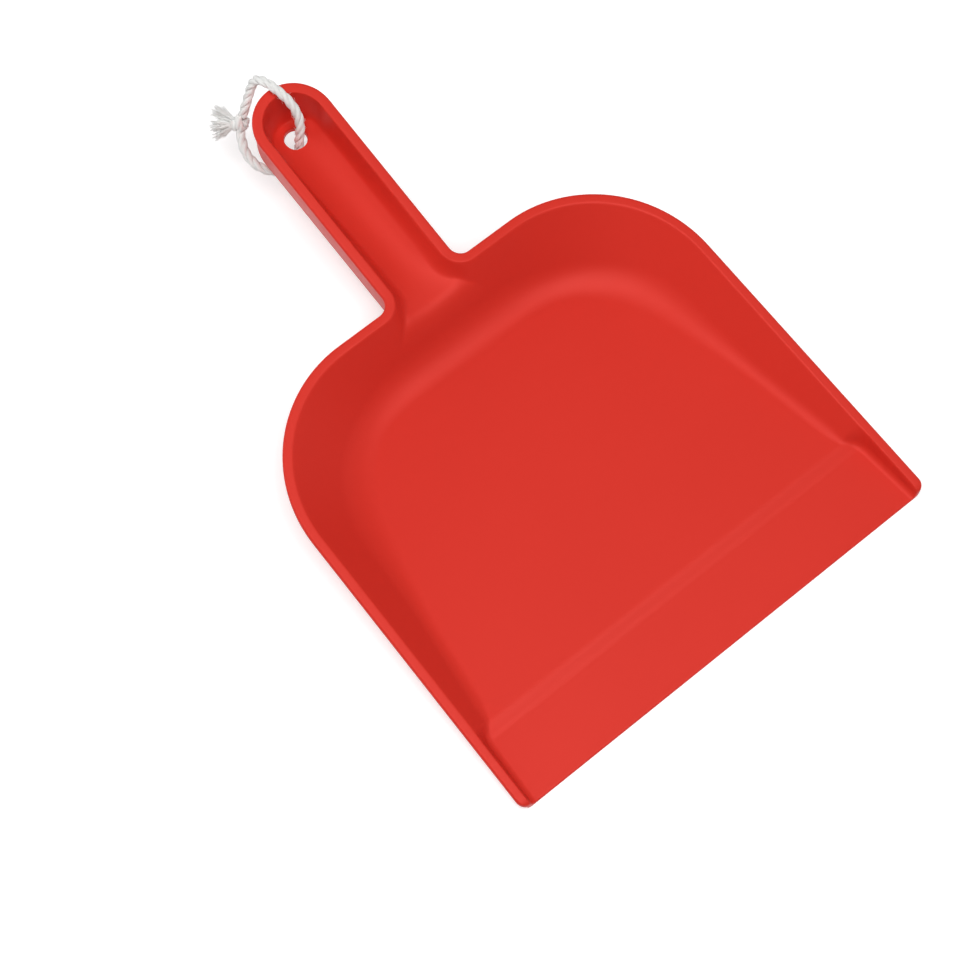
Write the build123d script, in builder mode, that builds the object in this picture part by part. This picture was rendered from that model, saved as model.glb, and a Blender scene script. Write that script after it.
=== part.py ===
"""Small hand dustpan, moulded in one piece, with a loop of twine through its handle.

Millimetres. X runs across the pan, Y from the front lip to the end of the handle, Z up.
The origin is on the surface that the pan stands on, at the middle of its length and width.
"""

import os
from math import atan2, cos, pi, radians, sin, tan

from build123d import *

# ---------------------------------------------------------------- driving dimensions: moulding
overall_length = 210.0  # front lip to the end of the handle
front_width = 152.2  # over the rim at the front corners
overall_height = 35.2  # top of the rim at the end of the handle, before its edge is rounded
pan_length = 137.1  # front lip to the back of the pan's rim
side_taper = 1.0  # degrees, by which each side runs in towards the back
rim_front_height = 4.2  # top of the rim at the front lip
rim_back_height = 20.7  # top of the rim at the back of the pan
rim_width = 3.0
rim_thickness = 1.6
rim_top_radius = 1.1  # of its outer edge, above
rim_under_radius = 0.35  # and below
bend_radius = 80.0  # where the rim turns up into the handle
front_corner_radius = 2.8
shoulder_radius = 42.5  # of the rim, in plan
floor_corner_radius = 40.0  # where the floor meets the shoulder
wall_thickness = 1.6
floor_thickness = 2.2
side_wall_angle = 43.0  # degrees from the floor
back_wall_angle = 57.5
base_radius = 10.0  # inside, where the walls meet the floor

lip_length = 20.5  # the thin, low strip along the front
lip_edge_thickness = 0.9
lip_thickness = 1.3  # at the foot of the step up to the floor
step_length = 6.0

grip_width = 25.6  # over the rim of the handle
grip_rim_width = 3.3
notch_radius = 4.0  # of the rim, where the handle meets the pan
grip_overhang = 0.5  # of the rim beyond the handle's side wall
grip_mouth_depth = 5.2  # of the trough below the rim, where it opens into the pan
grip_end_depth = 12.0  # of the trough below the rim, at the end of the handle
grip_floor_thickness = 1.8
grip_outer_lean = 7.0  # degrees from upright, of the outside under the skirt
skirt_lean = 1.5  # degrees from upright
skirt_mouth_depth = 10.2  # of the handle's skirt below the rim, at the pan
skirt_end_depth = 11.4  # and at the end of the handle
trough_mouth_lean = 22.0  # degrees from upright, of the inner wall at the pan
trough_end_lean = 8.0  # and at the end of the handle
mouth_radius = 11.0  # where the trough's floor turns down into the pan
hole_diameter = 7.0
hole_from_end = 11.6

# ------------------------------------------------------------------- driving dimensions: twine
twine_diameter = 3.0
knot_length = 6.4
knot_diameter = 5.6
knot_rounding = 2.4
tail_root_diameter = 1.6
upper_tail_diameter = 3.2  # at its frayed end
lower_tail_diameter = 3.8
tail_seat = 0.6  # how far a tail reaches into the knot

# the way of the twine, from the knot under the handle, up through the hole, over the rim and back
twine_route = [
    (-10.4, 107.5, 19.2),
    (-12.8, 103.4, 18.0),
    (-13.8, 98.6, 17.6),
    (-12.9, 93.8, 17.2),
    (-9.4, 90.0, 16.6),
    (-4.2, 89.3, 15.9),
    (-0.5, 91.4, 17.8),
    (0.2, 92.0, 22.4),
    (1.6, 92.5, 26.9),
    (2.9, 94.6, 30.9),
    (2.6, 98.1, 34.6),
    (1.4, 102.3, 37.1),
    (0.2, 106.8, 37.4),
    (-1.0, 110.3, 35.3),
    (-2.6, 110.9, 31.0),
    (-5.0, 110.2, 26.5),
    (-7.9, 109.2, 22.5),
]
knot_centre = (-9.5, 108.8, 20.7)
upper_tail_end = (-12.6, 118.0, 20.2)
lower_tail_end = (-17.4, 112.4, 19.4)

# ------------------------------------------------------------------------ worked out from these
front_y = -overall_length / 2
end_y = overall_length / 2
back_y = front_y + pan_length
bend_y = back_y + notch_radius  # from here the rim climbs more steeply
inner_back_y = back_y - rim_width
step_y = front_y + lip_length
floor_y = step_y + step_length
grip_half = grip_width / 2
grip_arc_y = end_y - grip_half
hole_y = end_y - hole_from_end
pan_rise = (rim_back_height - rim_front_height) / pan_length
bend_height = rim_front_height + pan_rise * (bend_y - front_y)
grip_rise = (overall_height - bend_height) / (end_y - bend_y)
side_run = 1 / tan(radians(side_wall_angle))  # how far the wall goes out for each mm up
back_run = 1 / tan(radians(back_wall_angle))
side_skin = wall_thickness / sin(radians(side_wall_angle))  # the wall, measured level
back_skin = wall_thickness / sin(radians(back_wall_angle))
rim_core = rim_thickness / 2  # the walls reach the middle of the rim's thickness
above_rim = 2.0  # how far the hollows are carried up past the rim
margin = 5.0  # how far a cutting body reaches past what it cuts
crossing = 0.05  # keeps a rounding from just grazing the wall that it runs into


def rim_half(y):
    """Half the width over the pan's rim at a place along its length."""
    return front_width / 2 - (y - front_y) * tan(radians(side_taper))


def rim_height(y):
    """Top of the rim at a place along the length."""
    if y < bend_y:
        return rim_front_height + pan_rise * (y - front_y)
    return bend_height + grip_rise * (y - bend_y)


def side_face(y, above, skin):
    """Half the width between the side walls, at a height above the rim, with a skin outside."""
    return rim_half(y) - rim_width + above * side_run + skin


def back_face(above, skin):
    """Place of the back wall where it stands at a height above the sloping rim."""
    return inner_back_y + (above * back_run + skin) / (1 - pan_rise * back_run)


def back_face_at(z, skin):
    """Place of the back wall at a height above the ground."""
    return inner_back_y - (rim_height(inner_back_y) - z) * back_run + skin


def trough_floor(y):
    """Top of the trough's floor at a place along the handle."""
    mouth = rim_height(back_y) - grip_mouth_depth
    end = overall_height - grip_end_depth
    return mouth + (end - mouth) * (y - back_y) / (end_y - back_y)


def sloping_plane(y, z, rise):
    """Plane through a place on the centre line that climbs towards the handle."""
    slope = atan2(rise, 1)
    return Plane(origin=(0, y, z), x_dir=(1, 0, 0), z_dir=(0, -sin(slope), cos(slope)))


def basin(start_y, base_z, above, side, back, corner):
    """Solid between the leaning walls, from a level base up to a plane along the rim."""
    stretch = (1 + pan_rise**2) ** 0.5
    base_back = back_face_at(base_z, back)
    top_back = back_face(above, back)
    base_start = side_face(start_y, base_z - rim_height(start_y), side)
    base_end = side_face(base_back, base_z - rim_height(base_back), side)
    top_start = side_face(start_y, above, side)
    top_end = side_face(top_back, above, side)
    with BuildPart(mode=Mode.PRIVATE) as body:
        with BuildSketch(Plane.XY.offset(base_z)) as base:
            with BuildLine():
                Polyline(
                    (-base_start, start_y),
                    (base_start, start_y),
                    (base_end, base_back),
                    (-base_end, base_back),
                    close=True,
                )
            make_face()
            fillet(base.vertices().group_by(Axis.Y)[-1], floor_corner_radius)
        with BuildSketch(sloping_plane(start_y, rim_height(start_y) + above, pan_rise)) as top:
            with BuildLine():
                Polyline(
                    (-top_start, 0),
                    (top_start, 0),
                    (top_end, (top_back - start_y) * stretch),
                    (-top_end, (top_back - start_y) * stretch),
                    close=True,
                )
            make_face()
            fillet(top.vertices().group_by(Axis.Y)[-1], corner)
        loft(ruled=True)
    return body.part


def side_profile(floor_drop, wall_step, radius, foot, crown):
    """Side view of the handle: its floor, and the turn down into the pan's back wall."""
    far = end_y + margin
    near = back_face_at(foot, wall_step)
    corner_y = back_y
    for _ in range(40):
        corner_y = back_face_at(trough_floor(corner_y) - floor_drop, wall_step)
    with BuildSketch(Plane.YZ, mode=Mode.PRIVATE) as profile:
        with BuildLine():
            turn = FilletPolyline(
                (far, trough_floor(far) - floor_drop),
                (corner_y, trough_floor(corner_y) - floor_drop),
                (near, foot),
                radius=radius,
            )
            Polyline(
                turn @ 1,
                (near - margin, foot),
                (near - margin, rim_height(near - margin) + crown),
                (bend_y, bend_height + crown),
                (far, rim_height(far) + crown),
                turn @ 0,
            )
        make_face()
    return profile.sketch


def lip_outline(skin, corner_x, corner_y, front):
    """Plan of the strip along the front, up to the slanted ends of the step."""
    start_half = rim_half(front) - rim_width + skin
    end_half = rim_half(step_y) - rim_width + skin
    with BuildSketch(mode=Mode.PRIVATE) as outline:
        with BuildLine():
            Polyline(
                (-start_half, front),
                (start_half, front),
                (end_half, step_y + skin / 2),
                (corner_x, corner_y),
                (-corner_x, corner_y),
                (-end_half, step_y + skin / 2),
                close=True,
            )
        make_face()
    return outline.sketch


def wall_meets(drop, skin):
    """Where a plane along the handle's rim, this far below it, meets the pan's back wall."""
    start = back_face_at(0, skin)
    level = bend_height - grip_rise * bend_y - drop
    return (start + level * back_run) / (1 - grip_rise * back_run)


def grip_plane(drop):
    """Plane along the handle's rim, this far below it, with its origin over the part's."""
    return sloping_plane(0, bend_height - grip_rise * bend_y - drop, grip_rise)


def along_grip(y):
    """Length along the sloping handle that belongs to a length along the ground."""
    return y * (1 + grip_rise**2) ** 0.5


def rim_line(drop):
    """Side view of the rim, this far below its top: over the pan, the bend, along the handle."""
    places = (front_y - margin, bend_y, end_y + margin)
    return [(y, rim_height(y) - drop) for y in places]


def outline_edges(plate, above):
    """Edges of the rim's plate that run along its outline, above or below."""
    chosen = []
    for edge in plate.edges():
        middle = edge @ 0.5
        upright = abs((edge % 0.5).Z) > 0.9
        across = abs(middle.X) < 1 and middle.Y < grip_arc_y
        is_above = middle.Z > rim_height(middle.Y) - rim_core
        if not upright and not across and is_above == above:
            chosen.append(edge)
    return chosen


def grip_block(overhang, lean, depth):
    """Solid under the handle's rim, down to a depth, as wide as the handle's outside."""
    with BuildPart(mode=Mode.PRIVATE) as block:
        for drop in (rim_core, depth):
            side = grip_half - overhang - drop * tan(radians(lean))
            arc_y = along_grip(grip_arc_y)
            start_y = along_grip(wall_meets(drop, -margin))
            with BuildSketch(grip_plane(drop)):
                with BuildLine():
                    Polyline((side, arc_y), (side, start_y), (-side, start_y), (-side, arc_y))
                    ThreePointArc((-side, arc_y), (0, arc_y + side), (side, arc_y))
                make_face()
        loft(ruled=True)
    return block.part


# ------------------------------------------------------------------------------------- dustpan
notch_inner_radius = notch_radius + rim_width
inner_shoulder_radius = shoulder_radius - rim_width
lip_corner_x = side_face(floor_y, floor_thickness - rim_height(floor_y), 0)
lip_corner_x -= base_radius * tan(radians(side_wall_angle / 2)) + wall_thickness / 4

with BuildPart() as rim:
    with BuildSketch() as rim_outline:
        with BuildLine():
            Polyline(
                (grip_half, grip_arc_y),
                (grip_half, back_y),
                (rim_half(back_y), back_y),
                (rim_half(front_y), front_y),
                (-rim_half(front_y), front_y),
                (-rim_half(back_y), back_y),
                (-grip_half, back_y),
                (-grip_half, grip_arc_y),
            )
            ThreePointArc((-grip_half, grip_arc_y), (0, end_y), (grip_half, grip_arc_y))
        make_face()
        fillet(rim_outline.vertices().group_by(Axis.Y)[0], front_corner_radius)
        turns = rim_outline.vertices().filter_by_position(Axis.Y, back_y - 0.1, back_y + 0.1)
        turns = turns.sort_by(Axis.X)
        fillet(turns[1:-1], notch_radius)
        turns = rim_outline.vertices().filter_by_position(Axis.Y, back_y - 0.1, back_y + 0.1)
        turns = turns.sort_by(Axis.X)
        fillet([turns[0], turns[-1]], shoulder_radius)
    extrude(amount=overall_height + margin)
    with BuildSketch(Plane.YZ):
        with BuildLine():
            upper = FilletPolyline(*rim_line(0), radius=bend_radius)
            lower = FilletPolyline(*rim_line(rim_thickness), radius=bend_radius + rim_thickness)
            Line(upper @ 0, lower @ 0)
            Line(upper @ 1, lower @ 1)
        make_face()
    extrude(amount=front_width, both=True, mode=Mode.INTERSECT)
    fillet(outline_edges(rim, True), rim_top_radius)
    fillet(outline_edges(rim, False), rim_under_radius)

with BuildPart() as hollow:
    add(
        basin(
            step_y,
            floor_thickness,
            above_rim,
            0,
            0,
            inner_shoulder_radius,
        )
    )
    foot = hollow.edges().group_by(Axis.Z)[0].sort_by(Axis.Y)[1:]
    fillet(foot, base_radius)

with BuildPart() as lip_hollow:
    add(lip_outline(0, lip_corner_x, floor_y, front_y - margin))
    extrude(amount=overall_height)
    with BuildSketch(Plane.YZ):
        with BuildLine():
            slope = (lip_thickness - lip_edge_thickness) / lip_length
            strip = Line(
                (front_y - margin, lip_edge_thickness - slope * margin),
                (step_y, lip_thickness),
            )
            middle = ((step_y + floor_y) / 2, (lip_thickness + floor_thickness) / 2)
            lower = TangentArc(strip @ 1, middle, tangent=(1, 0))
            upper = TangentArc(middle, (floor_y, floor_thickness), tangent=lower % 1)
            Polyline(
                upper @ 1,
                (floor_y + margin, floor_thickness),
                (floor_y + margin, overall_height),
                (front_y - margin, overall_height),
                strip @ 0,
            )
        make_face()
    extrude(amount=front_width, both=True, mode=Mode.INTERSECT)

with BuildPart() as trough:
    for drop in (-above_rim, grip_end_depth + 1):
        mouth_half = grip_half - grip_rim_width - drop * tan(radians(trough_mouth_lean))
        end_half = grip_half - grip_rim_width - drop * tan(radians(trough_end_lean))
        wall_y = along_grip(wall_meets(drop, -crossing))
        arc_y = along_grip(grip_arc_y)
        head_half = grip_half + margin
        with BuildSketch(grip_plane(drop)) as outline:
            with BuildLine():
                Polyline(
                    (end_half, arc_y),
                    (mouth_half, wall_y),
                    (head_half, wall_y),
                    (head_half, wall_y - margin),
                    (-head_half, wall_y - margin),
                    (-head_half, wall_y),
                    (-mouth_half, wall_y),
                    (-end_half, arc_y),
                )
                ThreePointArc((-end_half, arc_y), (0, arc_y + end_half), (end_half, arc_y))
            make_face()
            turns = outline.vertices().filter_by_position(Axis.X, -mouth_half - 0.1, mouth_half + 0.1)
            turns = [v for v in turns if abs(abs(v.X) - mouth_half) < 0.01]
            fillet(turns, notch_inner_radius)
    loft(ruled=True)
    side_view = side_profile(0, -crossing, mouth_radius, floor_thickness + base_radius * 0.6, margin)
    extrude(side_view, amount=front_width / 2, both=True, mode=Mode.INTERSECT)

with BuildPart() as grip:
    add(grip_block(grip_overhang, grip_outer_lean, grip_end_depth + 2 * grip_floor_thickness))
    side_view = side_profile(
        grip_floor_thickness,
        back_skin - crossing,
        mouth_radius - grip_floor_thickness,
        floor_thickness + wall_thickness,
        -rim_core,
    )
    extrude(side_view, amount=front_width / 2, both=True, mode=Mode.INTERSECT)

with BuildPart() as skirt:
    skirt_slope = (skirt_end_depth - skirt_mouth_depth) / (end_y - back_y)
    ends = (back_y - 2 * margin, end_y + margin)
    depths = [skirt_mouth_depth + skirt_slope * (y - back_y) for y in ends]
    add(grip_block(grip_overhang, skirt_lean, depths[-1]))
    with BuildSketch(Plane.YZ):
        with BuildLine():
            Polyline(
                (ends[0], rim_height(ends[0]) - depths[0]),
                (ends[1], rim_height(ends[1]) - depths[1]),
                (ends[1], overall_height),
                (ends[0], overall_height),
                close=True,
            )
        make_face()
    extrude(amount=front_width, both=True, mode=Mode.INTERSECT)
    inside = grip_block(grip_overhang + wall_thickness, skirt_lean, depths[-1] + margin)
    add(inside, mode=Mode.SUBTRACT)

with BuildPart() as lip:
    with BuildSketch() as lip_plan:
        add(lip_outline(wall_thickness, lip_corner_x, floor_y + margin, front_y))
        fillet(lip_plan.vertices().group_by(Axis.Y)[0], front_corner_radius - rim_width / 2)
    extrude(amount=overall_height)
    with BuildSketch(Plane.YZ) as lip_side:
        with BuildLine():
            Polyline(
                (front_y - margin, 0),
                (floor_y + 2 * margin, 0),
                (floor_y + 2 * margin, rim_height(floor_y + 2 * margin) - rim_core),
                (front_y - margin, rim_height(front_y - margin) - rim_core),
                close=True,
            )
        make_face()
    extrude(amount=front_width, both=True, mode=Mode.INTERSECT)

with BuildPart() as dustpan:
    add(basin(step_y, 0, -rim_core, side_skin, back_skin, inner_shoulder_radius + wall_thickness))
    add(lip.part)
    add(grip.part)
    add(skirt.part)
    add(rim.part)
    add(hollow.part, mode=Mode.SUBTRACT)
    add(lip_hollow.part, mode=Mode.SUBTRACT)
    add(trough.part, mode=Mode.SUBTRACT)
    with Locations((0, hole_y, overall_height / 2)):
        Cylinder(hole_diameter / 2, overall_height, mode=Mode.SUBTRACT)
dustpan.part.label = "dustpan"
print("dustpan", dustpan.part.volume, dustpan.part.is_valid, len(dustpan.part.faces()))

os.makedirs("parts", exist_ok=True)
export_step(dustpan.part, "parts/dustpan.step")

# --------------------------------------------------------------------------------------- twine


def corner_radii(points):
    """Arc radius for each corner of a route: 0.45 of the shorter run over tan(half turn)."""
    radii = []
    for before, here, after in zip(points, points[1:], points[2:]):
        run_in = Vector(*here) - Vector(*before)
        run_out = Vector(*after) - Vector(*here)
        half_turn = radians(run_in.get_angle(run_out)) / 2
        radii.append(0.45 * min(run_in.length, run_out.length) / tan(half_turn))
    return radii


twine_radii = corner_radii(twine_route)
print("twine arc radii", [round(radius, 1) for radius in twine_radii])

with BuildPart() as twine_loop:
    with BuildLine() as twine_line:
        FilletPolyline(*twine_route, radius=twine_radii)
    with BuildSketch(Plane(origin=twine_line.line @ 0, z_dir=twine_line.line % 0)):
        Circle(twine_diameter / 2)
    sweep()
twine_loop.part.label = "twine_loop"
section = pi * twine_diameter**2 / 4
length = sum(edge.length for edge in twine_line.edges())
print("twine loop length", round(length, 1), "volume", round(twine_loop.part.volume, 1))
print("section times length", round(section * length, 1))
export_step(twine_loop.part, "parts/twine_loop.step")

knot_middle = Vector(*knot_centre)
tails_middle = (Vector(*upper_tail_end) + Vector(*lower_tail_end)) / 2
with BuildPart() as twine_knot:
    with BuildSketch(Plane(origin=knot_middle, z_dir=tails_middle - knot_middle)):
        Circle(knot_diameter / 2)
    extrude(amount=knot_length / 2, both=True)
    fillet(twine_knot.edges().filter_by(GeomType.CIRCLE), knot_rounding)
twine_knot.part.label = "twine_knot"
export_step(twine_knot.part, "parts/twine_knot.step")


def tail(end, end_diameter):
    """Frayed end of the twine, from inside the knot's skin outwards."""
    reach = Vector(*end) - knot_middle
    start = knot_middle + reach.normalized() * (knot_diameter / 2 - tail_seat)
    with BuildPart() as body:
        with BuildSketch(Plane(origin=start, z_dir=reach)):
            Circle(tail_root_diameter / 2)
        with BuildSketch(Plane(origin=Vector(*end), z_dir=reach)):
            Circle(end_diameter / 2)
        loft()
    return body.part


for name, end, diameter in (
    ("twine_tail_upper", upper_tail_end, upper_tail_diameter),
    ("twine_tail_lower", lower_tail_end, lower_tail_diameter),
):
    piece = tail(end, diameter)
    piece.label = name
    export_step(piece, f"parts/{name}.step")
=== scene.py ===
from math import acos, atan2, cos, pi, radians, sin, sqrt, tan
from random import Random

import bmesh
import bpy
from bpy.props import (
    FloatProperty,
    FloatVectorProperty,
    IntProperty,
    PointerProperty,
)
from mathutils import Matrix, Vector


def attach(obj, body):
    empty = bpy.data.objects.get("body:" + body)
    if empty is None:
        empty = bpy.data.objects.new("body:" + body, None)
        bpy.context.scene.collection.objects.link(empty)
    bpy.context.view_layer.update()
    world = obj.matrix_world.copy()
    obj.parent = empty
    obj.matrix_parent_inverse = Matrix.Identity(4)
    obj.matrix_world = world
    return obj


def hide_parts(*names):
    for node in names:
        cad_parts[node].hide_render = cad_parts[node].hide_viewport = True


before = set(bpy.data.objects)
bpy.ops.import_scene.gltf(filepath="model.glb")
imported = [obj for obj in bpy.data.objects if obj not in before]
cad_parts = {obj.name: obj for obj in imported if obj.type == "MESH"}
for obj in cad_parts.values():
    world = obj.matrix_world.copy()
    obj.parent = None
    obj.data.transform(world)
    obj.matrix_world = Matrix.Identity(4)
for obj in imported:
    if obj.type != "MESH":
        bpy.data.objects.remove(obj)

bl_info = {
    "name": "Hand dustpan",
    "version": (1, 0, 0),
    "blender": (4, 5, 0),
    "location": "View3D > Sidebar > Dustpan",
    "description": "Dresses a one-piece hand dustpan and the twine loop in its handle",
    "category": "Object",
}

MM = 0.001

# ----------------------------------------------------------------------------- the twine's way
# from the knot under the handle, up through the hole, over the rim and back, in metres
TWINE_ROUTE = [
    (-0.0104, 0.1075, 0.0192),
    (-0.0128, 0.1034, 0.0180),
    (-0.0138, 0.0986, 0.0176),
    (-0.0129, 0.0938, 0.0172),
    (-0.0094, 0.0900, 0.0166),
    (-0.0042, 0.0893, 0.0159),
    (-0.0005, 0.0914, 0.0178),
    (0.0002, 0.0920, 0.0224),
    (0.0016, 0.0925, 0.0269),
    (0.0029, 0.0946, 0.0309),
    (0.0026, 0.0981, 0.0346),
    (0.0014, 0.1023, 0.0371),
    (0.0002, 0.1068, 0.0374),
    (-0.0010, 0.1103, 0.0353),
    (-0.0026, 0.1109, 0.0310),
    (-0.0050, 0.1102, 0.0265),
    (-0.0079, 0.1092, 0.0225),
]
KNOT_CENTRE = Vector((-0.0095, 0.1088, 0.0207))
UPPER_TAIL_END = Vector((-0.0126, 0.1180, 0.0202))
LOWER_TAIL_END = Vector((-0.0174, 0.1124, 0.0194))

STRAND_STEP, KNOT_STEP = 0.00045, 0.0003  # spacing of the rings along a strand
STRAND_SHARE = 0.275  # radius of a strand as a share of the twine's diameter
UV_LENGTH = 0.01  # length of a strand that takes up one unit of its UV map
STRAY_RADIUS = 0.00003


# ----------------------------------------------------------------------------------- settings
class PlasticSettings(bpy.types.PropertyGroup):
    colour: FloatVectorProperty(
        name="Plastic colour",
        description="Pigment of the moulded plastic",
        subtype="COLOR",
        size=4,
        min=0.0,
        max=1.0,
        default=(0.68, 0.032, 0.02, 1.0),
    )
    roughness: FloatProperty(
        name="Roughness",
        description="How dull the moulded surface is",
        subtype="FACTOR",
        min=0.0,
        max=1.0,
        default=0.42,
    )


class TwineSettings(bpy.types.PropertyGroup):
    colour: FloatVectorProperty(
        name="Twine colour",
        description="Colour of the twine's fibres",
        subtype="COLOR",
        size=4,
        min=0.0,
        max=1.0,
        default=(1.0, 1.0, 0.985, 1.0),
    )
    diameter: FloatProperty(
        name="Diameter",
        description="Over the three strands",
        subtype="DISTANCE",
        unit="LENGTH",
        default=0.003,
    )
    pitch: FloatProperty(
        name="Pitch",
        description="Length in which a strand goes once round the twine",
        subtype="DISTANCE",
        unit="LENGTH",
        default=0.0098,
    )
    fibres: IntProperty(
        name="Stray fibres",
        description="Fibres that stand out of the twine",
        min=0,
        default=260,
    )


class StageSettings(bpy.types.PropertyGroup):
    ambient: FloatProperty(
        name="Room light",
        description="Brightness of the pale room around the part",
        min=0.0,
        default=0.12,
    )
    key_power: FloatProperty(
        name="Key power",
        description="Power of the softbox above the part, a little to its front left",
        min=0.0,
        default=9.9,
    )
    back_power: FloatProperty(
        name="Back power",
        description="Power of the low softbox behind the handle, on the left",
        min=0.0,
        default=3.7,
    )
    side_power: FloatProperty(
        name="Side power",
        description="Power of the weak softbox to the right of the lip",
        min=0.0,
        default=1.2,
    )
    softbox_size: FloatProperty(
        name="Softbox size",
        description="Side of each softbox",
        subtype="DISTANCE",
        unit="LENGTH",
        default=0.85,
    )


# ------------------------------------------------------------------------------- small helpers
def new_material(name):
    """An empty node material: itself, its nodes, its links and its output node."""
    material = bpy.data.materials.new(name)
    material.use_nodes = True
    nodes = material.node_tree.nodes
    nodes.clear()
    output = nodes.new("ShaderNodeOutputMaterial")
    return material, nodes, material.node_tree.links, output


def shaded(colour, red, green, blue):
    """A colour with each of its parts made weaker or stronger."""
    parts = [min(1.0, part * share) for part, share in zip(colour, (red, green, blue))]
    return (*parts, 1.0)


def mesh_object(name, vertices, faces, smooth=True):
    """A mesh object in the row frame."""
    mesh = bpy.data.meshes.new(name)
    mesh.from_pydata([tuple(v) for v in vertices], [], faces)
    mesh.update()
    if smooth:
        mesh.shade_smooth()
    piece = bpy.data.objects.new(name, mesh)
    bpy.context.scene.collection.objects.link(piece)
    return piece


def finish_piece(piece, material):
    """Gives a piece its material and lets it move with the part."""
    piece.data.materials.clear()
    piece.data.materials.append(material)
    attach(piece, "root")


# ----------------------------------------------------------------------------------- materials
def moulded_plastic(settings):
    """Satin red plastic: faint flow shading, a fine moulded grain and a few light scuffs."""
    material, nodes, links, output = new_material("moulded_plastic")
    shader = nodes.new("ShaderNodeBsdfPrincipled")
    shader.inputs["IOR"].default_value = 1.49
    shader.inputs["Specular IOR Level"].default_value = 0.7
    shader.inputs["Specular Tint"].default_value = (1.0, 0.22, 0.2, 1.0)
    links.new(shader.outputs["BSDF"], output.inputs["Surface"])
    place = nodes.new("ShaderNodeTexCoord")

    flow = nodes.new("ShaderNodeTexNoise")
    flow.inputs["Scale"].default_value = 14.0
    flow.inputs["Detail"].default_value = 3.0
    links.new(place.outputs["Object"], flow.inputs["Vector"])
    tint = nodes.new("ShaderNodeMix")
    tint.data_type = "RGBA"
    tint.inputs["A"].default_value = shaded(settings.colour, 0.965, 0.93, 0.93)
    tint.inputs["B"].default_value = shaded(settings.colour, 1.03, 1.08, 1.08)
    links.new(flow.outputs["Fac"], tint.inputs["Factor"])
    links.new(tint.outputs["Result"], shader.inputs["Base Color"])

    scuff_place = nodes.new("ShaderNodeMapping")
    scuff_place.inputs["Scale"].default_value = (60.0, 900.0, 60.0)
    scuff_place.inputs["Rotation"].default_value = (0.0, 0.0, 0.5)
    links.new(place.outputs["Object"], scuff_place.inputs["Vector"])
    scuffs = nodes.new("ShaderNodeTexNoise")
    scuffs.inputs["Scale"].default_value = 1.0
    scuffs.inputs["Detail"].default_value = 2.0
    links.new(scuff_place.outputs["Vector"], scuffs.inputs["Vector"])
    rough = nodes.new("ShaderNodeMapRange")
    rough.inputs["From Min"].default_value = 0.3
    rough.inputs["From Max"].default_value = 0.75
    rough.inputs["To Min"].default_value = settings.roughness - 0.02
    rough.inputs["To Max"].default_value = settings.roughness + 0.03
    links.new(scuffs.outputs["Fac"], rough.inputs["Value"])
    links.new(rough.outputs["Result"], shader.inputs["Roughness"])

    grain = nodes.new("ShaderNodeTexNoise")
    grain.inputs["Scale"].default_value = 2600.0
    grain.inputs["Detail"].default_value = 2.0
    links.new(place.outputs["Object"], grain.inputs["Vector"])
    bump = nodes.new("ShaderNodeBump")
    bump.inputs["Strength"].default_value = 0.12
    bump.inputs["Distance"].default_value = 0.00004
    links.new(grain.outputs["Fac"], bump.inputs["Height"])
    links.new(bump.outputs["Normal"], shader.inputs["Normal"])
    return material


def twine_fibre(settings):
    """White laid twine: each strand shows the yarns that it is twisted from, with painted shade in
    the grooves between them.
    """
    material, nodes, links, output = new_material("twine_fibre")
    shader = nodes.new("ShaderNodeBsdfPrincipled")
    shader.inputs["Roughness"].default_value = 0.85
    shader.inputs["Sheen Weight"].default_value = 0.4
    shader.inputs["Sheen Roughness"].default_value = 0.5
    links.new(shader.outputs["BSDF"], output.inputs["Surface"])
    place = nodes.new("ShaderNodeTexCoord")

    slant = nodes.new("ShaderNodeMapping")
    slant.inputs["Rotation"].default_value = (0.0, 0.0, 0.6)
    slant.inputs["Scale"].default_value = (9.0, 9.0, 1.0)
    links.new(place.outputs["UV"], slant.inputs["Vector"])
    yarns = nodes.new("ShaderNodeTexWave")
    yarns.inputs["Scale"].default_value = 1.6
    yarns.inputs["Distortion"].default_value = 2.2
    yarns.inputs["Detail"].default_value = 3.0
    yarns.inputs["Detail Scale"].default_value = 2.0
    links.new(slant.outputs["Vector"], yarns.inputs["Vector"])
    soil = nodes.new("ShaderNodeTexNoise")
    soil.inputs["Scale"].default_value = 260.0
    soil.inputs["Detail"].default_value = 4.0
    links.new(place.outputs["Object"], soil.inputs["Vector"])

    # the tint turns darker where the yarns' waves run low, the same waves that make the bump: this is
    # painted shade in the grooves between the yarns, with the soil noise adding random tone on top
    tint = nodes.new("ShaderNodeMix")
    tint.data_type = "RGBA"
    tint.inputs["A"].default_value = shaded(settings.colour, 0.95, 0.945, 0.92)
    tint.inputs["B"].default_value = settings.colour
    groove_shade_and_soil = nodes.new("ShaderNodeMath")
    groove_shade_and_soil.operation = "MULTIPLY_ADD"
    groove_shade_and_soil.inputs[1].default_value = 0.45
    links.new(yarns.outputs["Fac"], groove_shade_and_soil.inputs[0])
    links.new(soil.outputs["Fac"], groove_shade_and_soil.inputs[2])
    links.new(groove_shade_and_soil.outputs["Value"], tint.inputs["Factor"])
    links.new(tint.outputs["Result"], shader.inputs["Base Color"])

    bump = nodes.new("ShaderNodeBump")
    bump.inputs["Strength"].default_value = 0.5
    bump.inputs["Distance"].default_value = 0.00018
    links.new(yarns.outputs["Fac"], bump.inputs["Height"])
    links.new(bump.outputs["Normal"], shader.inputs["Normal"])
    return material


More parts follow.
